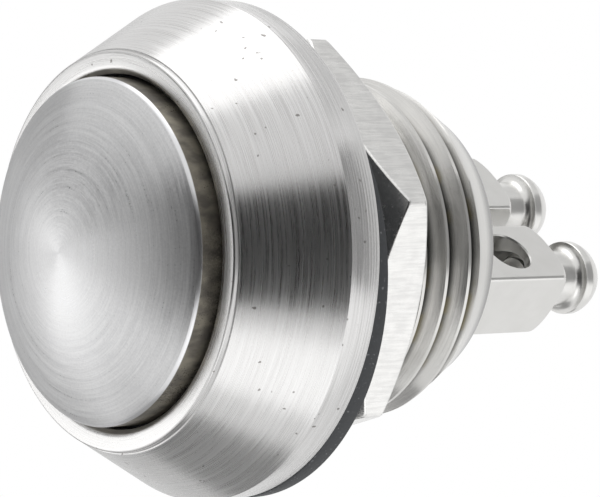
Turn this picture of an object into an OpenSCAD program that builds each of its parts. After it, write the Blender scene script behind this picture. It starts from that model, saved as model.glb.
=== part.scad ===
// Anti vandal push button: a domed metal cap in a turned bezel on a threaded barrel,
// clamped by a hexagon nut over a gasket, with two square screw terminals at the rear.
// Frame: +Z along the button's axis, out of the panel. z = 0 is the bezel's seat on the gasket.
// The two terminals stand side by side along X. Their wire holes run along Y.

/* [Bezel] */
// radius of the bezel's rim
rim_r = 12.5; // [11.5:0.1:14]
// height of the cylindrical rim
rim_h = 1.8; // [1.2:0.1:2.4]
// height of the flat front land above the seat
face_z = 6.6; // [6:0.1:7.2]
// radius where the cone meets the front land
land_r = 9.8; // [9.6:0.05:10.4]

/* [Barrel] */
// crest radius of the thread
thread_r = 8.87; // [8.8:0.01:9.4]
// pitch of the thread
pitch = 1.5; // [1.25:0.25:1.5]
// length of the barrel behind the seat
barrel_l = 12.25; // [12:0.05:14]
// how far the long chamfer brings the barrel's end in from the crests
end_cut = 1.57; // [1.3:0.01:1.6]
// angle of that chamfer to the axis
end_angle = 28.3; // [24:0.1:32]
// wall between the thread's roots and the bore of the base
barrel_wall = 1.33; // [1.2:0.01:1.5]

/* [Cap] */
// radius of the moving cap
cap_r = 8.5; // [8:0.05:8.6]
// height of the cap's front edge above the seat
cap_edge_z = 7.43; // [7.2:0.05:8]
// height of the middle of the dome above the seat
apex_z = 9.6; // [9.2:0.1:10.4]
// width of the bright chamfer round the cap
cap_chamfer = 0.22; // [0.1:0.02:0.3]
// how far the button goes in
travel = 1.6; // [1.2:0.1:1.6]

/* [Nut and gasket] */
// wall of the nut between its bore and a flat
nut_wall = 0.66; // [0.66:0.02:1.5]
// thickness of the nut
nut_h = 3.1; // [2.4:0.1:3.4]
// where the nut's front face sits behind the seat
nut_z = 2.4; // [1.6:0.1:4]
// turn of the nut about the barrel
nut_turn = 54.3; // [0:0.1:60]
// play of the gasket's hole over the crests
gasket_play = 0.53; // [0.5:0.01:0.8]
// width of the gasket's ring
gasket_w = 2.1; // [1.8:0.1:2.6]
// thickness of the gasket
gasket_t = 1.1; // [1:0.1:1.4]

/* [Terminals] */
// side of the square terminal posts
post_w = 4.2; // [3.6:0.1:4.2]
// distance between the middles of the two posts
post_gap = 5.6; // [5.4:0.1:5.8]
// depth of the posts' rear ends behind the seat
post_end = 20.35; // [19.8:0.05:22]
// radius of the flat that the rounding leaves on a post's end
post_end_r = 2; // [1.8:0.05:2]
// height of that rounding
post_round = 1.1; // [0.8:0.1:1.4]
// diameter of the wire holes
wire_d = 2.6; // [2:0.02:2.6]
// depth of the wire holes behind the seat
wire_z = 17.1; // [16.2:0.1:17.2]
// radius of the clamp screws' shanks
screw_r = 1.5; // [1.2:0.05:1.5]
// radius of the clamp screws' heads
head_r = 2; // [1.8:0.05:2.2]
// length of the screws' shanks under the head
shank_l = 3.3; // [3:0.1:3.6]
// gap between the right screw's head and the end of its post
head_gap_right = 1.6; // [0.5:0.1:1.8]
// gap between the left screw's head and the end of its post
head_gap_left = 1.8; // [0.5:0.1:1.8]

/* [Hidden] */
$fn = 96;
eps = 0.01;
// clearances of the fits
cap_gap = 0.18;
slide_gap = 0.06;
seal_gap = 0.02;
nut_gap = 0.07;
screw_gap = 0.05;
seat_gap = 0.02;
gasket_gap = 0.11;

// bezel and cap bore
cap_bore_r = cap_r + cap_gap;
bore_chamfer = 0.15;
land_drop = 0.1;
edge_round = 0.15;
step_in = 0.16;
step_w = 0.13;
rim_break = 0.12;

// barrel
root_r = thread_r - 0.6134 * pitch;
crest_half = pitch / 16;
root_half = pitch / 16;
relief_l = 0.9;
relief_cone = 0.6;
first_crest = 0.25;
first_groove = -relief_l - relief_cone - first_crest - pitch / 2 + crest_half;
plain_end = 2.2;
groove_count = 1 + floor((barrel_l - plain_end + first_groove) / pitch);
end_r = thread_r - end_cut;
end_edge = 0.12;
nose_rise = 0.3;
nose_l = (end_cut - end_edge + nose_rise) / tan(end_angle);

// inside of the body, from the front to the rear
web_top = 2.2;
web_t = 1.6;
web_low = web_top - web_t;
sleeve_r = 3;
base_bore_r = root_r - barrel_wall;
chamber_step = 0.62;
chamber_r = base_bore_r - chamber_step;
ring_groove_depth = 0.4;
ring_groove_r = base_bore_r + ring_groove_depth;
ring_land = 0.7;
ring_groove_t = 0.65;
ring_groove_top = -barrel_l + ring_land + ring_groove_t;
end_break = 0.15;

// guide sleeve and plunger
sleeve_flange_r = 4.2;
sleeve_flange_t = 0.5;
sleeve_low = 0.2;
plunger_r = 1.75;
plunger_top = 7.2;
shoulder_z = -1.6;
stem_r = 0.9;
tip_break = 0.15;
clip_groove_r = 1.4;
clip_r = 2.8;
clip_t = 0.5;
clip_top = sleeve_low - seat_gap;

// cap
boss_play = 0.3;
skirt_play = 0.1;
skirt_low = web_top + travel + skirt_play;
skirt_in_r = 6.9;
recess_top = 6.8;
boss_r = 3.4;
boss_low = web_top + sleeve_flange_t + travel + boss_play;
cap_groove_r = 7.62;
cap_groove_z = 5.15;
cap_groove_h = 1.16;
cap_ring_sec = (cap_bore_r - seal_gap - cap_groove_r) / 2;
dome_edge_r = cap_r - cap_chamfer;
dome_edge_z = cap_edge_z + cap_chamfer;
dome_rise = apex_z - dome_edge_z;
dome_r = (dome_edge_r * dome_edge_r + dome_rise * dome_rise) / (2 * dome_rise);

// springs
spring_r = 5.2;
spring_wire = 0.6;
spring_turns = 4;
touch_spring_r = 1.42;
touch_wire = 0.4;
touch_turns = 4;
touch_l = 2.8;
end_ease = 0.5;
wire_sides = 8;
turn_steps = 20;

// bridge and its contacts: the bridge springs back by a share of the press
bridge_share = 0.375;
bridge_way = travel * (1 - bridge_share);
bridge_top = shoulder_z - touch_l;
bridge_t = 0.5;
bridge_low = bridge_top - bridge_t;
bridge_w = 3;
bridge_hole_r = stem_r + slide_gap;
contact_x = post_gap / 2;
rivet_r = 0.45;
button_r = 0.95;
button_t = 0.5;
bridge_clip_r = 1.4;
bridge_clip_t = 0.35;
bridge_clip_top = bridge_low - seat_gap;
bridge_clip_in = 0.65;
stem_over = 0.38;
stem_tip = bridge_clip_top - bridge_clip_t - stem_over;

// fixed contacts
pad_r = 1.1;
pad_t = 0.58;
pad_top = bridge_low - button_t - bridge_way - seat_gap;
pad_socket = 0.3;

// insulator base
base_top = pad_top - pad_t;
base_r = base_bore_r - seal_gap;
base_rear = ring_groove_top + seat_gap;
boss_step = 0.72;
boss_rear_r = base_bore_r - boss_step;
boss_sink = 0.1;
boss_rear = -barrel_l + boss_sink;
seal_depth = 0.92;
base_groove_r = base_r - seal_depth;
base_groove_h = 1.06;
base_groove_z = (base_top + base_rear) / 2;
base_ring_sec = seal_depth / 2;
tip_hole_r = 1.2;
tip_hole_play = 0.35;
tip_hole_low = stem_tip - travel - tip_hole_play;
key_w = 1.2;
key_l = 1.2;
key_h = 0.5;
key_gap = 0.04;

// retaining ring at the rear
ring_width_in = 0.57;
ring_in_r = base_bore_r - ring_width_in;
ring_out_r = ring_groove_r - seat_gap;
ring_t = ring_groove_t - 2 * seat_gap;
ring_open = 3;

// terminals
post_sink = 2.6;
post_top = -barrel_l + post_sink;
pin_r = 0.8;
pin_root = 0.5;
pin_top = base_top + pad_socket;
screw_hole_r = screw_r + screw_gap;
post_cut = post_w * 2;
corner_over = 0.1;
post_corner = post_w / sqrt(2) + corner_over;
round_steps = 6;

// clamp screws
neck_round = 0.45;
head_rim = 0.95;
head_dome = 1.5;
head_sphere = (head_r * head_r + head_dome * head_dome) / (2 * head_dome);
shank_break = 0.25;
slot_w = 0.7;
slot_d = 0.7;

// nut
nut_top = -nut_z;
nut_low = nut_top - nut_h;
nut_bore_r = thread_r + nut_gap;
nut_flat_r = nut_bore_r + nut_wall;
nut_corner_r = nut_flat_r * 2 / sqrt(3);
nut_chamfer = 0.62;
nut_face_in = 0.15;
nut_face_r = nut_flat_r - nut_face_in;
nut_mouth = 0.35;

// gasket: it hangs by its hole, off the middle, on the relief behind the seat
gasket_in = thread_r + gasket_play;
gasket_r = gasket_in + gasket_w;
relief_rise = (thread_r - root_r) / relief_cone;
relief_under = root_r + max(0, gasket_t - relief_l) * relief_rise;
gasket_shift = gasket_in - relief_under - gasket_gap;
gasket_side = -29;

// a plain ring between two heights
module ring(out_r, in_r, low, high)
  translate([0, 0, low])
    difference() {
      cylinder(r = out_r, h = high - low);
      translate([0, 0, -eps]) cylinder(r = in_r, h = high - low + 2 * eps);
    }

// a round cord seal on a circle
module o_ring(mid_r, sec_r, z)
  translate([0, 0, z]) rotate_extrude() translate([mid_r, 0]) circle(r = sec_r);

// a compression spring with closed ends: the rise eases in and out along the wire
function spring_ease(t) = t - end_ease * sin(360 * t) / (2 * PI);
function spring_mid(t, low, high, mid_r, wire, turns) =
  [mid_r * cos(360 * turns * t), mid_r * sin(360 * turns * t),
   low + wire / 2 + (high - low - wire) * spring_ease(t)];
module spring(low, high, mid_r, wire, turns) {
  steps = turns * turn_steps;
  points = [for (i = [0:steps], k = [0:wire_sides - 1])
    let (t = i / steps, a = 360 * turns * t, b = 360 * k / wire_sides,
         m = spring_mid(t, low, high, mid_r, wire, turns), out = wire / 2 * cos(b))
    [m[0] + out * cos(a), m[1] + out * sin(a), m[2] + wire / 2 * sin(b)]];
  sides = [for (i = [0:steps - 1], k = [0:wire_sides - 1])
    let (n = (k + 1) % wire_sides, p = i * wire_sides, q = p + wire_sides)
    [p + k, p + n, q + n, q + k]];
  start = [[for (k = [0:wire_sides - 1]) wire_sides - 1 - k]];
  finish = [[for (k = [0:wire_sides - 1]) steps * wire_sides + k]];
  polyhedron(points = points, faces = concat(sides, start, finish), convexity = 6);
}

// outline of one thread groove, from its front edge to its rear edge
function groove(z) = [[thread_r, z + pitch / 2 - crest_half], [root_r, z + root_half],
                      [root_r, z - root_half], [thread_r, z - pitch / 2 + crest_half]];
function thread_outline() =
  [for (k = [0:groove_count - 1], p = groove(first_groove - k * pitch)) p];

// the bezel, barrel and thread, turned from one bar
module body() {
  front = [[cap_bore_r, web_top], [cap_bore_r, face_z - bore_chamfer - land_drop],
           [cap_bore_r + bore_chamfer, face_z - land_drop],
           [land_r - 0.5, face_z], [land_r - edge_round, face_z - 0.02],
           [land_r, face_z - edge_round], [land_r + 0.02, face_z - edge_round - step_in],
           [land_r + step_w, face_z - edge_round - step_in - 0.04]];
  rim = [[rim_r - 0.04, rim_h], [rim_r, rim_h - 0.06], [rim_r, rim_break],
         [rim_r - rim_break, 0], [root_r, 0], [root_r, -relief_l],
         [thread_r, -relief_l - relief_cone]];
  stock_end = [[thread_r, -barrel_l]];
  nose = [[end_r, -barrel_l - eps], [end_r, -barrel_l], [end_r + end_edge, -barrel_l + end_edge],
          [thread_r + nose_rise, -barrel_l + end_edge + nose_l],
          [thread_r + nose_rise, -barrel_l - eps]];
  inside = [[base_bore_r + end_break, -barrel_l], [base_bore_r, -barrel_l + end_break],
            [base_bore_r, ring_groove_top - ring_groove_t],
            [ring_groove_r, ring_groove_top - ring_groove_t],
            [ring_groove_r, ring_groove_top], [base_bore_r, ring_groove_top],
            [base_bore_r, base_top], [chamber_r, base_top], [chamber_r, web_low],
            [sleeve_r, web_low], [sleeve_r, web_top]];
  color([0.72, 0.72, 0.70])
    difference() {
      rotate_extrude()
        difference() {
          polygon(concat(front, rim, thread_outline(), stock_end, inside));
          // the long chamfer cuts through the last turn of the thread
          polygon(nose);
        }
      // keyway that stops the base from turning
      translate([-key_w / 2, 0, base_top - key_l])
        cube([key_w, base_bore_r + key_h, key_l]);
    }
}

// the domed cap that the finger presses
module button_cap()
  color([0.78, 0.78, 0.77])
    difference() {
      intersection() {
        union() {
          translate([0, 0, skirt_low]) cylinder(r = cap_r, h = cap_edge_z - skirt_low);
          translate([0, 0, cap_edge_z])
            cylinder(r1 = cap_r, r2 = dome_edge_r, h = cap_chamfer);
          translate([0, 0, dome_edge_z]) cylinder(r = dome_edge_r, h = dome_rise + eps);
        }
        translate([0, 0, apex_z - dome_r]) sphere(r = dome_r);
      }
      ring(skirt_in_r, boss_r, skirt_low - eps, recess_top);
      translate([0, 0, skirt_low - eps]) cylinder(r = boss_r + eps, h = boss_low - skirt_low);
      translate([0, 0, skirt_low]) cylinder(r = plunger_r, h = plunger_top - skirt_low);
      ring(cap_r + eps, cap_groove_r, cap_groove_z - cap_groove_h / 2,
           cap_groove_z + cap_groove_h / 2);
    }

module cap_o_ring()
  color([0.08, 0.08, 0.08])
    o_ring(cap_groove_r + cap_ring_sec, cap_ring_sec, cap_groove_z);

// the rod from the cap to the contacts
module plunger()
  color([0.66, 0.66, 0.67])
    difference() {
      union() {
        translate([0, 0, shoulder_z]) cylinder(r = plunger_r, h = plunger_top - shoulder_z);
        translate([0, 0, stem_tip + tip_break])
          cylinder(r = stem_r, h = shoulder_z - stem_tip - tip_break);
        translate([0, 0, stem_tip]) cylinder(r1 = stem_r - tip_break, r2 = stem_r, h = tip_break);
      }
      ring(plunger_r + eps, clip_groove_r, clip_top - clip_t, clip_top);
      ring(stem_r + eps, bridge_clip_in, bridge_clip_top - bridge_clip_t, bridge_clip_top);
    }

// an open clip in a groove of the plunger: it stops the button from coming out
module open_clip(out_r, in_r, low, high)
  difference() {
    ring(out_r, in_r, low, high);
    translate([0, -in_r * 0.8, low - eps]) cube([out_r + 1, in_r * 1.6, high - low + 2 * eps]);
  }

module plunger_clip()
  color([0.35, 0.35, 0.37])
    open_clip(clip_r, clip_groove_r, clip_top - clip_t, clip_top);

module bridge_clip()
  color([0.35, 0.35, 0.37])
    open_clip(bridge_clip_r, bridge_clip_in, bridge_clip_top - bridge_clip_t, bridge_clip_top);

// the moulded sleeve in the body's web that the plunger slides in
module guide_sleeve()
  color([0.90, 0.89, 0.84])
    difference() {
      union() {
        translate([0, 0, web_top]) cylinder(r = sleeve_flange_r, h = sleeve_flange_t);
        translate([0, 0, sleeve_low]) cylinder(r = sleeve_r, h = web_top - sleeve_low);
      }
      translate([0, 0, sleeve_low - eps])
        cylinder(r = plunger_r + slide_gap, h = web_top + sleeve_flange_t - sleeve_low + 2 * eps);
    }

module return_spring()
  color([0.62, 0.62, 0.64])
    spring(web_top, recess_top, spring_r, spring_wire, spring_turns);

module contact_spring()
  color([0.62, 0.62, 0.64])
    spring(bridge_top, shoulder_z, touch_spring_r, touch_wire, touch_turns);

// the strip that joins the two fixed contacts
module contact_bridge()
  color([0.80, 0.62, 0.30])
    difference() {
      union() {
        translate([-contact_x, -bridge_w / 2, bridge_low]) cube([2 * contact_x, bridge_w, bridge_t]);
        for (side = [-1, 1])
          translate([side * contact_x, 0, bridge_low]) cylinder(r = bridge_w / 2, h = bridge_t);
      }
      translate([0, 0, bridge_low - eps]) cylinder(r = bridge_hole_r, h = bridge_t + 2 * eps);
      for (side = [-1, 1])
        translate([side * contact_x, 0, bridge_low - eps]) cylinder(r = rivet_r, h = bridge_t + 2 * eps);
    }

// a silver contact button riveted through the bridge
module bridge_contact(side)
  color([0.86, 0.86, 0.84])
    translate([side * contact_x, 0, 0]) {
      translate([0, 0, bridge_low]) cylinder(r = rivet_r, h = bridge_t);
      translate([0, 0, bridge_low - button_t]) cylinder(r = button_r, h = button_t);
    }

module bridge_contact_left() bridge_contact(-1);
module bridge_contact_right() bridge_contact(1);

// a silver pad pressed on the inner pin of a terminal
module fixed_contact(side)
  color([0.86, 0.86, 0.84])
    translate([side * contact_x, 0, 0])
      difference() {
        translate([0, 0, base_top]) cylinder(r = pad_r, h = pad_top - base_top);
        translate([0, 0, base_top - eps]) cylinder(r = pin_r, h = pad_socket + eps);
      }

module fixed_contact_left() fixed_contact(-1);
module fixed_contact_right() fixed_contact(1);

// the black moulding that carries both terminals
module insulator_base()
  color([0.10, 0.10, 0.10])
    difference() {
      union() {
        translate([0, 0, base_rear]) cylinder(r = base_r, h = base_top - base_rear);
        translate([0, 0, boss_rear]) cylinder(r = boss_rear_r, h = base_rear - boss_rear);
        translate([-key_w / 2 + key_gap, 0, base_top - key_l + key_gap])
          cube([key_w - 2 * key_gap, base_bore_r + key_h - key_gap, key_l - 2 * key_gap]);
      }
      ring(base_r + 1, base_groove_r, base_groove_z - base_groove_h / 2,
           base_groove_z + base_groove_h / 2);
      translate([0, 0, tip_hole_low]) cylinder(r = tip_hole_r, h = base_top - tip_hole_low + eps);
      for (side = [-1, 1])
        translate([side * contact_x, 0, 0]) {
          translate([-post_w / 2, -post_w / 2, boss_rear - eps])
            cube([post_w, post_w, post_top - boss_rear + eps]);
          translate([0, 0, post_top - eps]) cylinder(r = pin_r, h = base_top - post_top + 2 * eps);
        }
    }

module base_o_ring()
  color([0.08, 0.08, 0.08])
    o_ring(base_groove_r + base_ring_sec, base_ring_sec, base_groove_z);

// the open spring ring that holds the base in the barrel
module base_retaining_ring()
  color([0.35, 0.35, 0.37])
    translate([0, 0, ring_groove_top - seat_gap - ring_t])
      difference() {
        cylinder(r = ring_out_r, h = ring_t);
        translate([0, 0, -eps]) cylinder(r = ring_in_r, h = ring_t + 2 * eps);
        translate([0, -ring_open / 2, -eps]) cube([ring_out_r + 1, ring_open, ring_t + 2 * eps]);
      }

// half outline of a post's turned end: a flat, then a rounding out past the corners
function post_outline() =
  concat([[0, -post_end]],
         [for (i = [0:round_steps]) let (a = 90 * i / round_steps)
           [post_end_r + (post_corner - post_end_r) * sin(a), -post_end + post_round * (1 - cos(a))]],
         [[post_corner, post_top], [0, post_top]]);

// a plated post: square outside the base, a round pin inside it
module terminal(side)
  color([0.82, 0.81, 0.78])
    translate([side * contact_x, 0, 0])
      difference() {
        union() {
          intersection() {
            translate([-post_w / 2, -post_w / 2, -post_end])
              cube([post_w, post_w, post_end + post_top]);
            rotate_extrude() polygon(post_outline());
          }
          translate([0, 0, post_top - pin_root])
            cylinder(r = pin_r, h = pin_top - post_top + pin_root);
        }
        // clamp screw's hole, from the end into the wire hole
        translate([0, 0, -post_end - eps]) cylinder(r = screw_hole_r, h = post_end - wire_z + eps);
        // wire hole
        translate([0, 0, -wire_z]) rotate([90, 0, 0])
          cylinder(r = wire_d / 2, h = post_cut, center = true);
      }

module terminal_left() terminal(-1);
module terminal_right() terminal(1);

// a round headed clamp screw, partly unscrewed
module terminal_screw(side, gap)
  color([0.80, 0.79, 0.74])
    translate([side * contact_x, 0, -post_end - gap])
      difference() {
        union() {
          cylinder(r = screw_r, h = shank_l - shank_break);
          translate([0, 0, shank_l - shank_break])
            cylinder(r1 = screw_r, r2 = screw_r - shank_break, h = shank_break);
          rotate_extrude()
            difference() {
              translate([0, -head_rim]) square([head_r, head_rim]);
              translate([screw_r + neck_round, 0]) circle(r = neck_round);
              translate([screw_r + neck_round, -neck_round]) square([head_r, neck_round + eps]);
            }
          intersection() {
            translate([0, 0, -head_rim - head_dome]) cylinder(r = head_r, h = head_dome);
            translate([0, 0, -head_rim - head_dome + head_sphere]) sphere(r = head_sphere);
          }
        }
        translate([-head_r - 1, -slot_w / 2, -head_rim - head_dome - eps])
          cube([2 * head_r + 2, slot_w, slot_d + eps]);
      }

module terminal_screw_left() terminal_screw(-1, head_gap_left);
module terminal_screw_right() terminal_screw(1, head_gap_right);

// flat ring, loose on the relief: its own weight pulls it to one side
module panel_gasket()
  color([0.16, 0.16, 0.16])
    translate([gasket_shift * cos(gasket_side), gasket_shift * sin(gasket_side), 0])
      ring(gasket_r, gasket_in, -gasket_t, 0);

// hexagon nut, chamfered on both faces
module hex_nut()
  color([0.74, 0.74, 0.72])
    difference() {
      intersection() {
        translate([0, 0, nut_low]) rotate([0, 0, nut_turn]) cylinder(r = nut_corner_r, h = nut_h, $fn = 6);
        union() {
          translate([0, 0, nut_low])
            cylinder(r1 = nut_face_r, r2 = nut_face_r + (nut_h / 2) / nut_chamfer, h = nut_h / 2);
          translate([0, 0, nut_low + nut_h / 2])
            cylinder(r1 = nut_face_r + (nut_h / 2) / nut_chamfer, r2 = nut_face_r, h = nut_h / 2);
        }
      }
      translate([0, 0, nut_low - eps]) cylinder(r = nut_bore_r, h = nut_h + 2 * eps);
      for (face = [0, 1])
        translate([0, 0, face == 0 ? nut_low - eps : nut_top + eps])
          mirror([0, 0, face])
            cylinder(r1 = nut_bore_r + nut_mouth + eps, r2 = nut_bore_r, h = nut_mouth + eps);
    }

body();
button_cap();
cap_o_ring();
plunger();
plunger_clip();
guide_sleeve();
return_spring();
contact_bridge();
bridge_contact_left();
bridge_contact_right();
contact_spring();
bridge_clip();
fixed_contact_left();
fixed_contact_right();
insulator_base();
base_o_ring();
base_retaining_ring();
terminal_left();
terminal_right();
terminal_screw_left();
terminal_screw_right();
panel_gasket();
hex_nut();
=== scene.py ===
"""An anti vandal push button, turned from steel, dressed and lit for its portrait."""
import bmesh
import bpy
import math
from mathutils import Matrix, Vector


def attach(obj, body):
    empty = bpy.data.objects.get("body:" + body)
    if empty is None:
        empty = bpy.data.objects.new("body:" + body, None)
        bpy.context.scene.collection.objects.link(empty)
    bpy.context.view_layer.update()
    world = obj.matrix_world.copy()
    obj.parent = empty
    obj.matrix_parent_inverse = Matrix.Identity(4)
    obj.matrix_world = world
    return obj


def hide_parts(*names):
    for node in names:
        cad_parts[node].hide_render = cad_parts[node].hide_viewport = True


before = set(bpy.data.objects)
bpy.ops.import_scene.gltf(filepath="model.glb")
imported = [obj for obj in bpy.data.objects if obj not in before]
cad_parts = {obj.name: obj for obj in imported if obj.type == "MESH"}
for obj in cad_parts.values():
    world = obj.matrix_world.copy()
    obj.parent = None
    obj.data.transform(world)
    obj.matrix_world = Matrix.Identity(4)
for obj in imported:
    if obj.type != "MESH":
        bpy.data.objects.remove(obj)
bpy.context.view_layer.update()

# The body is one steel bar, turned to a bezel with a flat land, a cone and a rim, an undercut and
# a barrel with an M18 x 1.5 thread that runs out in a long chamfer. The tool's fine marks stay.
MM = 0.001
TURNED_STEPS = 240
SEAM = 2e-6
NEAR = 1e-6
SMOOTH_BELOW = 32.0
TOOL_MARK = 0.00001


class Tap:
    """A socket of a node tree. Sums written on it become Math nodes."""

    def __init__(self, tree, socket=None):
        self.tree = tree
        self.socket = socket

    def node(self, kind, settings=(), inputs=(), out=0):
        """Adds a node: its settings first, then the values or links of its inputs."""
        made = self.tree.nodes.new(kind)
        for name, value in dict(settings).items():
            setattr(made, name, value)
        for key, value in dict(inputs).items():
            if isinstance(value, Tap):
                self.tree.links.new(value.socket, made.inputs[key])
            else:
                made.inputs[key].default_value = value
        return Tap(self.tree, made.outputs[out] if made.outputs else None)

    def other(self, out):
        """Another output of the node that this socket belongs to."""
        return Tap(self.tree, self.socket.node.outputs[out])

    def sum_of(self, operation, *values):
        return self.node("ShaderNodeMath", {"operation": operation}, enumerate(values))

    def __add__(self, other):
        return self.sum_of("ADD", self, other)

    def __radd__(self, other):
        return self.sum_of("ADD", other, self)

    def __sub__(self, other):
        return self.sum_of("SUBTRACT", self, other)

    def __rsub__(self, other):
        return self.sum_of("SUBTRACT", other, self)

    def __mul__(self, other):
        return self.sum_of("MULTIPLY", self, other)

    def __rmul__(self, other):
        return self.sum_of("MULTIPLY", other, self)

    def __truediv__(self, other):
        return self.sum_of("DIVIDE", self, other)

    def __rtruediv__(self, other):
        return self.sum_of("DIVIDE", other, self)

    def eased(self, low, high):
        """0 below low, 1 above high and a soft step between. The reverse if low is the larger."""
        return self.node("ShaderNodeMapRange", {"interpolation_type": "SMOOTHSTEP"},
                         {0: self, 1: low, 2: high})

    def band(self, low, high, soft):
        """1 between low and high, falling to 0 over soft at either side."""
        return self.eased(low - soft, low) * self.eased(high + soft, high)

    def vector(self, x, y, z):
        return self.node("ShaderNodeCombineXYZ", (), {0: x, 1: y, 2: z})

    def noise(self, at, scale, detail=2.0, rough=0.5):
        return self.node("ShaderNodeTexNoise", {"noise_dimensions": "3D"},
                         {"Vector": at, "Scale": scale, "Detail": detail, "Roughness": rough})

    def tint(self, share, first, second):
        """A colour between two colours, each a link or three numbers."""
        ends = {6: first, 7: second}
        ends = {key: end if isinstance(end, Tap) else (*end, 1.0) for key, end in ends.items()}
        return self.node("ShaderNodeMix", {"data_type": "RGBA"}, {0: share, **ends}, out=2)

    def bump(self, height, strength, depth):
        return self.node("ShaderNodeBump", (),
                         {"Height": height, "Strength": strength, "Distance": depth})


def finish_of(name):
    """A new material and a tap on its tree, with the places on the piece in millimetres."""
    material = bpy.data.materials.new(name)
    material.use_nodes = True
    tree = material.node_tree
    tree.nodes.clear()
    tap = Tap(tree)
    place = tap.node("ShaderNodeTexCoord", out=3)
    at = tap.node("ShaderNodeVectorMath", {"operation": "SCALE"}, {0: place, "Scale": 1 / MM})
    parts = tap.node("ShaderNodeSeparateXYZ", (), {0: at})
    return material, tap, at, parts, parts.other(1), parts.other(2)


def metal(material, tap, colour, roughness, normal=None, anisotropic=0.0, metallic=1.0):
    """Closes a material with a surface. Only colour, roughness, metallic and normal may vary."""
    inputs = {"Base Color": colour if isinstance(colour, Tap) else (*colour, 1.0),
              "Roughness": roughness, "Metallic": metallic}
    if normal is not None:
        inputs["Normal"] = normal
    if anisotropic:
        inputs["Anisotropic"] = anisotropic
        inputs["Anisotropic Rotation"] = 0.25
    surface = tap.node("ShaderNodeBsdfPrincipled", (), inputs)
    tap.node("ShaderNodeOutputMaterial", (), {"Surface": surface})
    return material


def curved(points, per=6):
    """A smooth curve through outline points."""
    ends = [points[0]] + list(points) + [points[-1]]
    path = []
    for a, b, c, d in zip(ends, ends[1:], ends[2:], ends[3:]):
        for k in range(per):
            t = k / per
            path.append(tuple(0.5 * (2 * q + (r - p) * t + (2 * p - 5 * q + 4 * r - s) * t * t
                                     + (3 * q - p - 3 * r + s) * t ** 3)
                              for p, q, r, s in zip(a, b, c, d)))
    return path + [tuple(points[-1])]


def turned(name, outline, steps=TURNED_STEPS, open_at=None, centre=(0.0, 0.0)):
    """A mesh turned about an axis along Z, from (radius, height) points in millimetres. The outline
    is a list of points, or a function that gives them for an angle, where the piece isn't round."""
    bm = bmesh.new()
    angles = [2 * math.pi * k / steps for k in range(steps)]
    rows = [outline(a) if callable(outline) else outline for a in angles]
    rings = []
    for place, (first, height) in enumerate(rows[0]):
        if first < NEAR:
            rings.append([bm.verts.new((centre[0] * MM, centre[1] * MM, height * MM))] * steps)
            continue
        ring = []
        for a, row in zip(angles, rows):
            radius, height = row[place]
            ring.append(bm.verts.new(((centre[0] + radius * math.cos(a)) * MM,
                                      (centre[1] + radius * math.sin(a)) * MM, height * MM)))
        rings.append(ring)
    hollow = rows[0][0][0] > NEAR and rows[0][-1][0] > NEAR
    for place, (one, two) in enumerate(zip(rings, rings[1:] + rings[:1])):
        if place == open_at or (not hollow and place == len(rings) - 1):
            continue
        for k in range(steps):
            n = (k + 1) % steps
            corners = []
            for corner in (one[k], two[k], two[n], one[n]):
                if corner not in corners:
                    corners.append(corner)
            if len(corners) > 2:
                bm.faces.new(corners)
    bmesh.ops.recalc_face_normals(bm, faces=bm.faces)
    mesh = bpy.data.meshes.new(name)
    bm.to_mesh(mesh)
    bm.free()
    return mesh


def settled(name, meshes, material):
    """Joins meshes to one piece at the origin, closes its seams and sets its shading."""
    bm = bmesh.new()
    for mesh in meshes:
        bm.from_mesh(mesh)
    bmesh.ops.remove_doubles(bm, verts=bm.verts, dist=SEAM)
    bmesh.ops.dissolve_degenerate(bm, edges=bm.edges, dist=NEAR / 10)
    bmesh.ops.recalc_face_normals(bm, faces=bm.faces)
    joined = bpy.data.meshes.new(name)
    bm.to_mesh(joined)
    bm.free()
    joined.materials.clear()
    joined.materials.append(material)
    for face in joined.polygons:
        face.material_index = 0
        face.use_smooth = True
    joined.set_sharp_from_angle(angle=math.radians(SMOOTH_BELOW))
    piece = bpy.data.objects.new(name, joined)
    bpy.context.scene.collection.objects.link(piece)
    return piece


def grown(name, tree, inputs, material):
    """Runs a geometry tree on an empty object and returns its result as a plain mesh."""
    seed = bpy.data.objects.new(name, bpy.data.meshes.new(name))
    bpy.context.scene.collection.objects.link(seed)
    maker = seed.modifiers.new(name, "NODES")
    maker.node_group = tree
    sockets = {item.name: item.identifier for item in tree.interface.items_tree
               if item.item_type == "SOCKET" and item.in_out == "INPUT"}
    for label, value in {**inputs, "Material": material}.items():
        maker[sockets[label]] = value
    ready = seed.evaluated_get(bpy.context.evaluated_depsgraph_get())
    mesh = bpy.data.meshes.new_from_object(ready)
    seed.modifiers.remove(maker)
    bpy.data.objects.remove(seed)
    return mesh


def geometry_tree(name, sizes):
    """A geometry tree with a named input for each size, a material input and one output."""
    tree = bpy.data.node_groups.new(name, "GeometryNodeTree")
    tree.interface.new_socket("Geometry", in_out="OUTPUT", socket_type="NodeSocketGeometry")
    for label in sizes:
        kind = "NodeSocketInt" if label.endswith("Count") else "NodeSocketFloat"
        tree.interface.new_socket(label, in_out="INPUT", socket_type=kind)
    tree.interface.new_socket("Material", in_out="INPUT", socket_type="NodeSocketMaterial")
    source = tree.nodes.new("NodeGroupInput")
    given = {label: Tap(tree, source.outputs[label]) for label in (*sizes, "Material")}
    return tree, Tap(tree), given


def close_tree(tap, geometry, material):
    """Ends a geometry tree with Realize Instances and Set Material."""
    whole = tap.node("GeometryNodeRealizeInstances", (), {"Geometry": geometry})
    dressed = tap.node("GeometryNodeSetMaterial", (), {"Geometry": whole, "Material": material})
    tap.node("NodeGroupOutput", (), {0: dressed})


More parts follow.
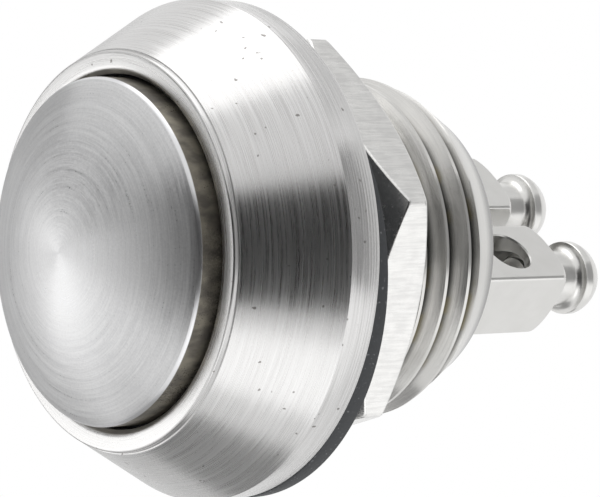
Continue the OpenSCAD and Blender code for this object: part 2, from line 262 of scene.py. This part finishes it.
CREST_R, ROOT_R, NOSE_R = 8.87, 7.95, 7.42
THREAD_TOP, THREAD_END, BARREL_END = -0.9, -12.13, -12.25
thread_sizes = {"Pitch": 1.5 * MM, "Crest Radius": CREST_R * MM, "Root Radius": ROOT_R * MM,
                "Nose Radius": NOSE_R * MM, "Nose Slope": 0.5384, "Top": THREAD_TOP * MM,
                "Lead": 0.6 * MM, "Bottom": THREAD_END * MM, "First Crest": -0.329 * MM,
                "Around Count": TURNED_STEPS, "Turns Count": 9, "Rows Count": 16}
thread_tree, tap, size = geometry_tree("cut thread", thread_sizes)
grid = tap.node("GeometryNodeMeshGrid", (), {
    "Size X": 1.0, "Size Y": 1.0, "Vertices X": size["Around Count"] + 1,
    "Vertices Y": size["Turns Count"] * size["Rows Count"] + 1})
cut = tap.node("ShaderNodeSeparateXYZ", (), {0: tap.node("GeometryNodeInputPosition")})
turn = cut + 0.5
wound = (0.5 - cut.other(1)) * size["Turns Count"]
height = size["First Crest"] - size["Pitch"] * (wound - turn)
held = tap.sum_of("MAXIMUM", size["Bottom"], tap.sum_of("MINIMUM", size["Top"], height))
phase = tap.sum_of("ABSOLUTE", tap.sum_of("FRACT", wound + 0.0001) - 0.5001)
# The root and the crest are each two sixteenths of the pitch wide, and the flanks the rest.
flank = tap.node("ShaderNodeMapRange", (), {0: phase * 16, 1: 1.0, 2: 7.0})
depth = size["Crest Radius"] - size["Root Radius"]
lead = tap.node("ShaderNodeMapRange", (), {0: (size["Top"] - held) / size["Lead"]})
radius = size["Root Radius"] + depth * tap.sum_of("MINIMUM", flank, lead)
nose = size["Nose Radius"] + size["Nose Slope"] * (held - size["Bottom"])
radius = tap.sum_of("MINIMUM", radius, nose)
angle = turn * (2 * math.pi)
curl = tap.vector(radius * tap.sum_of("COSINE", angle), radius * tap.sum_of("SINE", angle), held)
wrapped = tap.node("GeometryNodeSetPosition", (), {"Geometry": grid, "Position": curl})
closed = tap.node("GeometryNodeMergeByDistance", (), {"Geometry": wrapped, "Distance": NEAR})
close_tree(tap, closed, size["Material"])

# The steel's finish by place: a fine wave on the rim, stains, painted shade in roots and nose.
bezel_steel, tap, at, x, y, z = finish_of("turned bezel steel")
radius = tap.sum_of("SQRT", x * x + y * y)
cosine, sine = x / (radius + 0.001), y / (radius + 0.001)
lines = tap.noise(tap.vector(cosine * 1.6, sine * 1.6, (radius - z) * 7), 1.0, 4.0, 0.65)
fine = tap.noise(tap.vector(cosine * 3, sine * 3, (radius - z) * 26), 1.0, 2.0, 0.5)
streaks = (lines * 0.6 + fine * 0.4).eased(0.34, 0.66)
TOOL_FEED = 0.17
rows = tap.sum_of("SINE", z * (2 * math.pi / TOOL_FEED))
on_rim = z.band(0.1, 1.72, 0.05) * radius.eased(12.3, 12.45)
on_barrel = z.eased(-0.6, -0.9)
pits = tap.noise(at, 2.6, 1.0).eased(0.75, 0.77)
# The roots' zone, where the crests hide the roots: painted shade, and a few stains in it.
root_shade_and_stain_zone = on_barrel * radius.eased(8.42, 8.05) * z.eased(-10.6, -10.3)
colour = tap.tint(streaks, (0.52, 0.515, 0.51), (0.69, 0.685, 0.68))
colour = tap.tint(pits * (1 - on_barrel) * 0.8, colour, (0.16, 0.15, 0.14))
painted_nose_shade = z.eased(-11.1, -12.1) * on_barrel
stain = tap.noise(at, 0.55, 2.0).eased(0.5, 0.62) * root_shade_and_stain_zone
colour = tap.tint(on_barrel * 0.5, colour, (0.66, 0.65, 0.62))
# Painted shade: the thread's roots are darkened nearly to black.
colour = tap.tint(root_shade_and_stain_zone * 0.9, colour, (0.07, 0.07, 0.065))
colour = tap.tint(stain * 0.6, colour, (0.30, 0.26, 0.15))
# Painted shade: the nose's chamfer darkens towards the barrel's end.
colour = tap.tint(painted_nose_shade * 0.75, colour, (0.22, 0.22, 0.22))
roughness = 0.24 + streaks * 0.1 - on_rim * 0.05 - on_barrel * 0.07
marks = lines * 0.6 + fine * 0.4 + rows * on_rim * 0.2
normal = tap.bump(marks, 0.8, TOOL_MARK)
metal(bezel_steel, tap, colour, roughness, normal, anisotropic=0.7)

BORE_R, BORE_END, LAND_Z, RIM_R = 8.68, 2.2, 6.6, 12.5
BASE_R, RING_R, CHAMBER_R, SLEEVE_R = 6.62, 7.02, 6.0, 3.0
bore = [(BORE_R, BORE_END), (BORE_R, 6.35), (8.83, 6.5)]
land = [(8.86, 6.535), (8.92, 6.57), (9.0, 6.588), (9.1, 6.595), (9.6, LAND_Z), (9.66, LAND_Z)]
edge = curved([(9.7, 6.596), (9.75, 6.577), (9.785, 6.535), (9.8, 6.48)], 4) + [(9.805, 6.37)]
cone = [(9.81, 6.345), (9.83, 6.325), (9.86, 6.32), (9.885, 6.318), (9.905, 6.309), (9.93, 6.265),
        (9.95, 6.23), (10.8, 4.742), (11.65, 3.254), (12.42, 1.905), (12.44, 1.87)]
rim = curved([(12.465, 1.81), (12.495, 1.76), (RIM_R, 1.7)], 3)
rim += [(RIM_R, 0.12), (12.46, 0.04), (12.38, 0.0), (ROOT_R, 0.0), (ROOT_R, THREAD_TOP)]
end = [(NOSE_R, THREAD_END), (7.405, -12.17), (7.37, -12.22), (7.32, -12.245), (7.27, BARREL_END)]
inside = [(6.77, BARREL_END), (BASE_R, -12.1), (BASE_R, -11.55), (RING_R, -11.55),
          (RING_R, -10.9), (BASE_R, -10.9), (BASE_R, -7.0), (CHAMBER_R, -7.0), (CHAMBER_R, 0.6),
          (SLEEVE_R, 0.6), (SLEEVE_R, BORE_END)]
front = bore + land + edge + cone + rim
core = turned("body core", front + end + inside, open_at=len(front) - 1)
thread = grown("barrel thread", thread_tree, thread_sizes, bezel_steel)
body = settled("turned_body", [core, thread], bezel_steel)
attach(body, "housing")
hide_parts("body")

# The cap is turned from the same steel. Its dome keeps the rings of the facing cut, its edge is a
# chamfer with a painted highlight and its side is polished to slide in the bore, over a seal in its
# groove, and carries painted shade in a dark brown.
cap_steel, tap, at, x, y, z = finish_of("faced cap steel")
radius = tap.sum_of("SQRT", x * x + y * y)
cosine, sine = x / (radius + 0.001), y / (radius + 0.001)
rings = tap.noise(tap.vector(cosine * 0.4, sine * 0.4, radius * 6), 1.0, 5.0, 0.7)
hairs = tap.noise(tap.vector(cosine * 4, sine * 4, radius * 24), 1.0, 2.0, 0.5)
grit = tap.noise(at, 9.0, 2.0)
cuts = (rings * 0.45 + hairs * 0.3 + grit * 0.25).eased(0.34, 0.66)
on_shaded_side = z.eased(7.46, 7.40)
chamfer_painted_highlight = radius.eased(8.36, 8.39) * (1 - on_shaded_side)
side_shade_mottle = tap.noise(tap.vector(cosine * 14, sine * 14, z * 0.9), 1.0, 3.0)
colour = tap.tint(cuts, (0.52, 0.52, 0.525), (0.68, 0.68, 0.68))
# Painted highlight: the polished chamfer is lighter than the dome.
colour = tap.tint(chamfer_painted_highlight, colour, (0.74, 0.74, 0.75))
# Painted shade: the side in the gap is dark brown, with its metallic lowered.
colour = tap.tint(on_shaded_side, colour, tap.tint(side_shade_mottle.eased(0.3, 0.7), (0.11, 0.10, 0.085),
                                            (0.24, 0.22, 0.175)))
roughness = 0.27 + cuts * 0.12 - on_shaded_side * 0.04
normal = tap.bump((rings * 0.7 + hairs * 0.3) * (1 - on_shaded_side * 0.6), 0.6, TOOL_MARK)
metal(cap_steel, tap, colour, roughness, normal, anisotropic=0.8, metallic=1 - on_shaded_side * 0.4)

DOME_R, APEX_Z, DOME_EDGE = 18.554, 9.6, 8.37
dome = []
for k in range(25):
    radius = DOME_EDGE * k / 24
    dome.append((radius, APEX_Z - DOME_R + math.sqrt(DOME_R ** 2 - radius * radius)))
CAP_R, CAP_EDGE, CAP_FOOT, SKIRT_R, HUB_R, ROD_R = 8.5, 7.43, 3.9, 6.9, 3.4, 1.75
SEAL_TOP, SEAL_LOW, SEAL_R = 5.73, 4.57, 7.62
side = [(8.39, 7.59), (8.49, 7.46), (CAP_R, CAP_EDGE), (CAP_R, SEAL_TOP), (SEAL_R, SEAL_TOP),
        (SEAL_R, SEAL_LOW), (CAP_R, SEAL_LOW), (CAP_R, 3.95), (8.45, CAP_FOOT)]
hollow = [(SKIRT_R, CAP_FOOT), (SKIRT_R, 6.8), (HUB_R, 6.8), (HUB_R, 4.6), (ROD_R, 4.6),
          (ROD_R, 7.2), (0.0, 7.2)]
cap = settled("domed_cap", [turned("cap", dome + side + hollow)], cap_steel)
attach(cap, "button")
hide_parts("button_cap")


def dress(material, slot, *nodes):
    """Gives CAD nodes a finish. The slot argument is not used."""
    for node in nodes:
        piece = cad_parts[node]
        if not piece.material_slots:
            piece.data.materials.append(material)
        for place in piece.material_slots:
            place.link = "OBJECT"
            place.material = material


# The plunger is ground from bright steel. Its clip, the bridge's clip and the base's ring are
# steel too and snap into grooves. The two springs are coiled from drawn wire, round the plunger.
inner_steel, tap, _, x, y, z = finish_of("ground inner steel")
scratch = tap.noise(tap.vector(x * 2, y * 2, z * 20), 1.0)
metal(inner_steel, tap, tap.tint(scratch, (0.50, 0.50, 0.51), (0.62, 0.62, 0.62)),
      0.3 + scratch * 0.15)
dress(inner_steel, "inner_steel", "plunger", "plunger_clip", "bridge_clip", "base_retaining_ring")
spring_steel, tap, at, *_ = finish_of("drawn spring wire")
scratch = tap.noise(at, 4.0)
metal(spring_steel, tap, tap.tint(scratch, (0.56, 0.56, 0.58), (0.66, 0.66, 0.67)),
      0.25 + scratch * 0.15)
dress(spring_steel, "spring_steel", "return_spring", "contact_spring")

# The bridge is a stamped brass strip. Silver contact buttons are riveted to it and pressed on
# the inner pins of the terminals.
bridge_brass, tap, at, *_ = finish_of("stamped bridge brass")
grain = tap.noise(at, 5.0)
metal(bridge_brass, tap, tap.tint(grain, (0.70, 0.50, 0.22), (0.80, 0.60, 0.30)),
      0.3 + grain * 0.15)
dress(bridge_brass, "bridge_brass", "contact_bridge")
contact_silver, tap, at, *_ = finish_of("pressed contact silver")
grain = tap.noise(at, 6.0)
metal(contact_silver, tap, tap.tint(grain, (0.80, 0.79, 0.77), (0.88, 0.87, 0.85)),
      0.2 + grain * 0.15)
dress(contact_silver, "contact_silver", "bridge_contact_left", "bridge_contact_right",
      "fixed_contact_left", "fixed_contact_right")

# The sleeve that guides the plunger is moulded from a pale slippery plastic. The base that
# carries the terminals is moulded black, with a key in the body's keyway.
sleeve_plastic, tap, at, *_ = finish_of("moulded sleeve plastic")
grain = tap.noise(at, 6.0)
metal(sleeve_plastic, tap, tap.tint(grain, (0.78, 0.76, 0.70), (0.84, 0.82, 0.77)),
      0.4 + grain * 0.1, metallic=0.0)
dress(sleeve_plastic, "sleeve_plastic", "guide_sleeve")
base_plastic, tap, at, *_ = finish_of("moulded base plastic")
grain = tap.noise(at, 8.0)
metal(base_plastic, tap, tap.tint(grain, (0.018, 0.018, 0.018), (0.03, 0.03, 0.03)),
      0.4 + grain * 0.15, metallic=0.0)
dress(base_plastic, "base_plastic", "insulator_base")

# The gasket is cut from black rubber and the two seals are moulded cords. The rubber's skin is
# dull, with pale specks of dust. The gasket hangs loose on the undercut, so it sits off the middle.
seal_rubber, tap, at, *_ = finish_of("black seal rubber")
grain = tap.noise(at, 3.0, 4.0, 0.65)
specks = tap.noise(at, 5.5, 1.0).eased(0.66, 0.74)
colour = tap.tint(grain, (0.030, 0.032, 0.034), (0.075, 0.08, 0.085))
colour = tap.tint(specks * 0.6, colour, (0.30, 0.31, 0.32))
metal(seal_rubber, tap, colour, 0.55 + grain * 0.2, tap.bump(grain + specks * 0.4, 0.5, 0.00004),
      metallic=0.0)
dress(seal_rubber, "seal_rubber", "cap_o_ring", "base_o_ring")
WASHER_IN, WASHER_OUT, WASHER_LOW = 9.4, 11.5, -1.1
washer = [(WASHER_IN, -1.04), (WASHER_IN, -0.06), (9.46, 0.0), (11.4, 0.0), (11.44, -0.01),
          (11.48, -0.04), (WASHER_OUT, -0.1), (WASHER_OUT, -1.0), (11.48, -1.06), (11.44, -1.09),
          (11.4, WASHER_LOW), (9.46, WASHER_LOW)]
GASKET_MIDDLE = (0.904, -0.501)
gasket = settled("cut_gasket", [turned("gasket", washer, centre=GASKET_MIDDLE)], seal_rubber)
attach(gasket, "housing")
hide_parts("panel_gasket")


def carved(mesh, cutter):
    """One mesh with the other cut out of it."""
    block = bpy.data.objects.new("block", mesh)
    tool = bpy.data.objects.new("cutter", cutter)
    for thing in (block, tool):
        bpy.context.scene.collection.objects.link(thing)
    cut = block.modifiers.new("cut", "BOOLEAN")
    cut.operation = "DIFFERENCE"
    cut.solver = "EXACT"
    cut.object = tool
    ready = block.evaluated_get(bpy.context.evaluated_depsgraph_get())
    left = bpy.data.meshes.new_from_object(ready)
    for thing in (block, tool):
        bpy.data.objects.remove(thing)
    return left


# The terminals are square posts with rounded edges and a turned end, plated bright. A wire hole
# goes across each, and a threaded hole in its end takes the clamp screw. A pin carries the pad.
terminal_plate, tap, at, x, y, z = finish_of("bright terminal plate")
cloud = tap.noise(at, 0.9, 3.0)
grain = tap.noise(tap.vector(x * 3, y * 3, z * 14), 1.0, 3.0)
metal(terminal_plate, tap, tap.tint(cloud, (0.66, 0.655, 0.635), (0.74, 0.735, 0.72)),
      0.26 + grain * 0.06, tap.bump(grain, 0.05, TOOL_MARK))

POST_HALF, POST_EDGE, POST_TOP, POST_END, POST_APART = 2.1, 0.22, -9.65, -20.35, 2.8
PIN_R, PIN_TOP, END_R, END_FLARE, END_H, BLEND = 0.8, -6.7, 2.0, 1.07, 1.1, 0.12
WIRE_R, WIRE_Z, SCREW_HOLE_R = 1.3, -17.1, 1.55


def post_outline(angle):
    """Half a section of the post: a rounded square, then the turned end, then the screw's hole."""
    away = (angle + math.pi / 4) % (math.pi / 2) - math.pi / 4
    side = POST_HALF / math.cos(away)
    core = POST_HALF - POST_EDGE
    if POST_HALF * abs(math.tan(away)) > core:
        lean = core * (math.cos(away) + abs(math.sin(away)))
        side = lean + math.sqrt(lean ** 2 - 2 * core ** 2 + POST_EDGE ** 2)
    rows = [(0.0, PIN_TOP), (PIN_R - 0.05, PIN_TOP), (PIN_R, PIN_TOP - 0.05), (PIN_R, POST_TOP),
            (side - 0.1, POST_TOP), (side, POST_TOP - 0.1), (side, POST_TOP - 0.35),
            (side, -14.5), (side, POST_END + 1.25)]
    for k in range(17):
        a = math.pi / 2 * (1 - k / 16)
        end = END_R + END_FLARE * math.sin(a)
        blend = max(0.0, BLEND - abs(side - end)) / BLEND
        rows.append((min(side, end) - blend * blend * 0.03, POST_END + END_H * (1 - math.cos(a))))
    return rows + [(END_R - 0.07, POST_END), (SCREW_HOLE_R + 0.08, POST_END),
                   (SCREW_HOLE_R, POST_END + 0.08), (SCREW_HOLE_R, WIRE_Z), (0.0, WIRE_Z)]


hole = [(0.0, -2.3), (WIRE_R + 0.2, -2.3), (WIRE_R, -2.02), (WIRE_R, 2.02),
        (WIRE_R + 0.2, 2.3), (0.0, 2.3)]
for name, side in (("left", -1), ("right", 1)):
    post = turned("post", post_outline, 360, centre=(side * POST_APART, 0.0))
    drill = turned("drill", hole, 96)
    drill.transform(Matrix.Translation((side * POST_APART * MM, 0.0, WIRE_Z * MM))
                    @ Matrix.Rotation(math.pi / 2, 4, "X"))
    piece = settled("milled_post_" + name, [carved(post, drill)], terminal_plate)
    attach(piece, "housing")
    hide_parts("terminal_" + name)

# The clamp screws have a round head with a hollow under it, a plain neck, a thread below and a
# slot for the driver. Both are partly unscrewed, the left one a little more.
SHANK_R, CORE_R, NECK_END, SCREW_TOP, SCREW_END = 1.5, 1.19, 1.85, 3.05, 3.3
screw_sizes = {"Pitch": 0.5 * MM, "Crest Radius": SHANK_R * MM, "Root Radius": CORE_R * MM,
               "Nose Radius": CORE_R * MM, "Nose Slope": 2.0, "Top": SCREW_TOP * MM,
               "Lead": 0.25 * MM, "Bottom": NECK_END * MM, "First Crest": 3.2 * MM,
               "Around Count": 96, "Turns Count": 5, "Rows Count": 16}
HEAD_R, HEAD_H, HEAD_DOME_R, HEAD_DOME_END, HOLLOW_R = 2.0, 2.45, 2.083, 73.8, 0.45
SLOT_LONG, SLOT_WIDE, SLOT_DEEP = 6.0, 0.7, 0.7
head = [(0.0, -HEAD_H)]
for k in range(1, 13):
    a = math.radians(HEAD_DOME_END * k / 12)
    head.append((HEAD_DOME_R * math.sin(a), -HEAD_H + HEAD_DOME_R * (1 - math.cos(a))))
head += [(HEAD_R, -0.93), (HEAD_R, -0.6), (1.99, -0.53), (1.965, -0.47)]
for k in range(7):
    a = math.radians(75 - 75 * k / 6)
    head.append((SHANK_R + HOLLOW_R * (1 - math.cos(a)), -HOLLOW_R * math.sin(a)))
neck = head + [(SHANK_R, 0.6), (SHANK_R, 1.7), (CORE_R, NECK_END)]
tip = [(CORE_R, SCREW_TOP), (1.15, SCREW_END), (0.0, SCREW_END)]
for name, side, out in (("left", -1, 1.8), ("right", 1, 1.6)):
    low = POST_END - out
    core = turned("screw core", neck + tip, 96, open_at=len(neck) - 1)
    wound = grown("screw thread", thread_tree, screw_sizes, terminal_plate)
    bm = bmesh.new()
    for mesh in (core, wound):
        bm.from_mesh(mesh)
    bmesh.ops.remove_doubles(bm, verts=bm.verts, dist=SEAM)
    bmesh.ops.recalc_face_normals(bm, faces=bm.faces)
    screw = bpy.data.meshes.new("screw")
    bm.to_mesh(screw)
    bm.free()
    bm = bmesh.new()
    bmesh.ops.create_cube(bm, size=MM)
    slot = bpy.data.meshes.new("slot")
    bm.to_mesh(slot)
    bm.free()
    slot.transform(Matrix.Translation((0.0, 0.0, -HEAD_H * MM))
                   @ Matrix.Diagonal((SLOT_LONG, SLOT_WIDE, 2 * SLOT_DEEP, 1.0)))
    screw = carved(screw, slot)
    screw.transform(Matrix.Translation((side * POST_APART * MM, 0.0, low * MM)))
    piece = settled("round_screw_" + name, [screw], terminal_plate)
    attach(piece, "screw_" + name)
    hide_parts("terminal_screw_" + name)

# The nut is turned and milled from hexagon bar and plated. Both faces are chamfered, its edges
# are a little rounded and its flats keep the bar's fine drawn lines along the axis.
nut_plate, tap, at, x, y, z = finish_of("plated nut")
drawn = tap.noise(tap.vector(x * 7, y * 7, z * 0.7), 1.0, 3.0)
cloud = tap.noise(at, 1.1, 2.0)
colour = tap.tint((cloud * 0.4 + drawn * 0.6).eased(0.35, 0.65),
                  (0.66, 0.655, 0.645), (0.77, 0.765, 0.75))
metal(nut_plate, tap, colour, 0.18 + drawn * 0.14, tap.bump(drawn, 0.3, TOOL_MARK))

NUT_FLAT, NUT_FACE, NUT_BORE, NUT_CORNER = 9.6, 9.45, 8.94, 11.04
NUT_TOP, NUT_H, NUT_SLOPE, NUT_TURN = -2.4, 3.1, 0.62, 54.3


def nut_outline(angle):
    """Half a section of the nut: bore, mouth, face, chamfer and flat, then the same from below."""
    reach = min(NUT_FLAT / math.cos(angle % (math.pi / 3) - math.pi / 6), NUT_CORNER)
    drop = NUT_SLOPE * (reach - NUT_FACE)
    upper = [(NUT_BORE, 0.4), (NUT_BORE, 0.35), (NUT_BORE + 0.35, 0.0), (NUT_BORE + 0.38, 0.0),
             (NUT_FACE - 0.02, 0.0), (NUT_FACE + 0.01, 0.008), (NUT_FACE + 0.04, 0.028),
             (reach - 0.09, drop - 0.056), (reach - 0.05, drop - 0.031),
             (reach - 0.015, drop + 0.015), (reach, drop + 0.07), (reach, drop + 0.13)]
    return [(r, NUT_TOP - down) for r, down in upper] + \
        [(r, NUT_TOP - NUT_H + down) for r, down in reversed(upper)]


hexagon = turned("nut", nut_outline, 360)
hexagon.transform(Matrix.Rotation(math.radians(NUT_TURN), 4, "Z"))
nut = settled("hexagon_nut", [hexagon], nut_plate)
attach(nut, "nut")
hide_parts("hex_nut")

# The stage is a pale floor far below, a white surround and three soft lamps. Curved cards stand
# round the part for the metal to mirror, as in a studio, and nothing else sees them. The stage's
# axes lie about across the picture, up it and towards the camera.
RIGHT = Vector((0.43383, 0.37657, -0.81853))
UP = Vector((-0.72601, 0.68411, -0.07007))
BACK = Vector((0.53358, 0.62466, 0.57018))
MIDDLE = Vector((0.0, 0.0, -0.004))
CARD_REACH = 0.9


def seen_share(tree):
    """A tap on a tree and 1 for what the camera, a mirror or glass sees, 0 for light on things."""
    tap = Tap(tree)
    ray = tree.nodes.new("ShaderNodeLightPath")
    seen = [Tap(tree, ray.outputs[label]) for label in
            ("Is Camera Ray", "Is Glossy Ray", "Is Transmission Ray")]
    return tap, tap.sum_of("MAXIMUM", tap.sum_of("MAXIMUM", seen[0], seen[1]), seen[2])


world = bpy.data.worlds.new("white surround")
bpy.context.scene.world = world
world.use_nodes = True
world.node_tree.nodes.clear()
tap, share = seen_share(world.node_tree)
level = tap.tint(share, (0.62, 0.62, 0.63), (1.0, 1.0, 1.0))
sky = tap.node("ShaderNodeBackground", (), {"Color": level, "Strength": 1.0})
tap.node("ShaderNodeOutputWorld", (), {"Surface": sky})


def patch(name, left, right, low, high, level):
    """A curved stage card seen only in the metal. Its angles are taken at the part, in degrees from
    BACK: left and right across the picture, low and high up it."""
    corners, faces = [], []
    across, up = 12, 8
    for j in range(up + 1):
        for k in range(across + 1):
            a = math.radians(left + (right - left) * k / across)
            b = math.radians(low + (high - low) * j / up)
            corners.append(MIDDLE + CARD_REACH * (BACK * math.cos(b) * math.cos(a)
                                                  + RIGHT * math.cos(b) * math.sin(a)
                                                  + UP * math.sin(b)))
    for j in range(up):
        for k in range(across):
            n = j * (across + 1) + k
            faces.append((n, n + 1, n + across + 2, n + across + 1))
    mesh = bpy.data.meshes.new(name)
    mesh.from_pydata(corners, [], faces)
    cloth = bpy.data.materials.new(name)
    cloth.use_nodes = True
    cloth.node_tree.nodes.clear()
    tap = Tap(cloth.node_tree)
    glow = tap.node("ShaderNodeEmission", (),
                    {"Color": (level, level, level, 1.0), "Strength": 1.0})
    tap.node("ShaderNodeOutputMaterial", (), {"Surface": glow})
    mesh.materials.append(cloth)
    card = bpy.data.objects.new(name, mesh)
    bpy.context.scene.collection.objects.link(card)
    card.visible_camera = False
    card.visible_diffuse = False
    card.visible_shadow = False


patch("dark room", -68, 40, -31, 22, 0.03)
patch("upper left dark card", -118, -78, 4, 20, 0.1)
patch("right dark card", 48, 98, -12, 34, 0.38)
patch("upper right grey card", 84, 150, 40, 68, 0.78)
patch("lower right bright card", 52, 105, -50, -15, 1.3)
patch("lower grey card", 150, 270, -85, -42, 0.33)
patch("rear grey card", -168, -122, -40, 30, 0.5)

floor_mesh = bpy.data.meshes.new("pale floor")
FLOOR_Z, FLOOR_HALF = -0.45, 1.5
floor_mesh.from_pydata([(x, y, FLOOR_Z) for x, y in (
    (-FLOOR_HALF, -FLOOR_HALF), (FLOOR_HALF, -FLOOR_HALF),
    (FLOOR_HALF, FLOOR_HALF), (-FLOOR_HALF, FLOOR_HALF))], [], [(0, 1, 2, 3)])
floor = bpy.data.objects.new("pale floor", floor_mesh)
bpy.context.scene.collection.objects.link(floor)
floor_paint = bpy.data.materials.new("pale floor paint")
floor_paint.use_nodes = True
floor_paint.node_tree.nodes.clear()
tap, share = seen_share(floor_paint.node_tree)
white = tap.node("ShaderNodeEmission", (), {"Color": (1.0, 1.0, 1.0, 1.0), "Strength": 1.0})
matt = tap.node("ShaderNodeBsdfDiffuse", (), {"Color": (0.8, 0.8, 0.8, 1.0)})
mixed = tap.node("ShaderNodeMixShader", (), {0: share, 1: matt, 2: white})
tap.node("ShaderNodeOutputMaterial", (), {"Surface": mixed})
floor_mesh.materials.append(floor_paint)
# The metal doesn't mirror the floor, so that it shows the cards that stand lower.
floor.visible_glossy = False

for name, toward, distance, size, level in (
        ("upper softbox", UP * 0.98 - BACK * 0.05, 0.5, 0.45, 1.05),
        ("lower softbox", -UP * 0.75 + BACK * 0.45 + RIGHT * 0.1, 0.6, 0.35, 0.72),
        ("left softbox", -RIGHT * 0.93 - UP * 0.08 - BACK * 0.35, 0.55, 0.22, 1.12)):
    lamp = bpy.data.lights.new(name, "AREA")
    lamp.shape = "SQUARE"
    lamp.size = size
    lamp.energy = level * math.pi * size * size
    holder = bpy.data.objects.new(name, lamp)
    bpy.context.scene.collection.objects.link(holder)
    toward = toward.normalized()
    holder.matrix_world = Matrix.Translation(MIDDLE + toward * distance) @ \
        toward.to_track_quat("Z", "Y").to_matrix().to_4x4()

# The camera stands at the front right, as in the photograph. Its long lens was fitted to the edges
# of the turned faces there, with its axis on the part.
view = bpy.data.cameras.new("portrait camera")
view.sensor_width = 36.0
view.lens = 162.63
view.clip_start = 0.01
view.clip_end = 10.0
camera = bpy.data.objects.new("portrait camera", view)
bpy.context.scene.collection.objects.link(camera)
CAMERA_AT = Vector((0.07818, 0.07358, 0.08390))
CAMERA_AXES = ((0.47950, 0.42404, -0.76829), (-0.67609, 0.73667, -0.01537),
               (0.55946, 0.52680, 0.63992))
camera.matrix_world = (Matrix.Translation(CAMERA_AT)
                       @ Matrix(CAMERA_AXES).transposed().to_4x4())
bpy.context.scene.camera = camera
bpy.context.scene.view_settings.view_transform = "Standard"
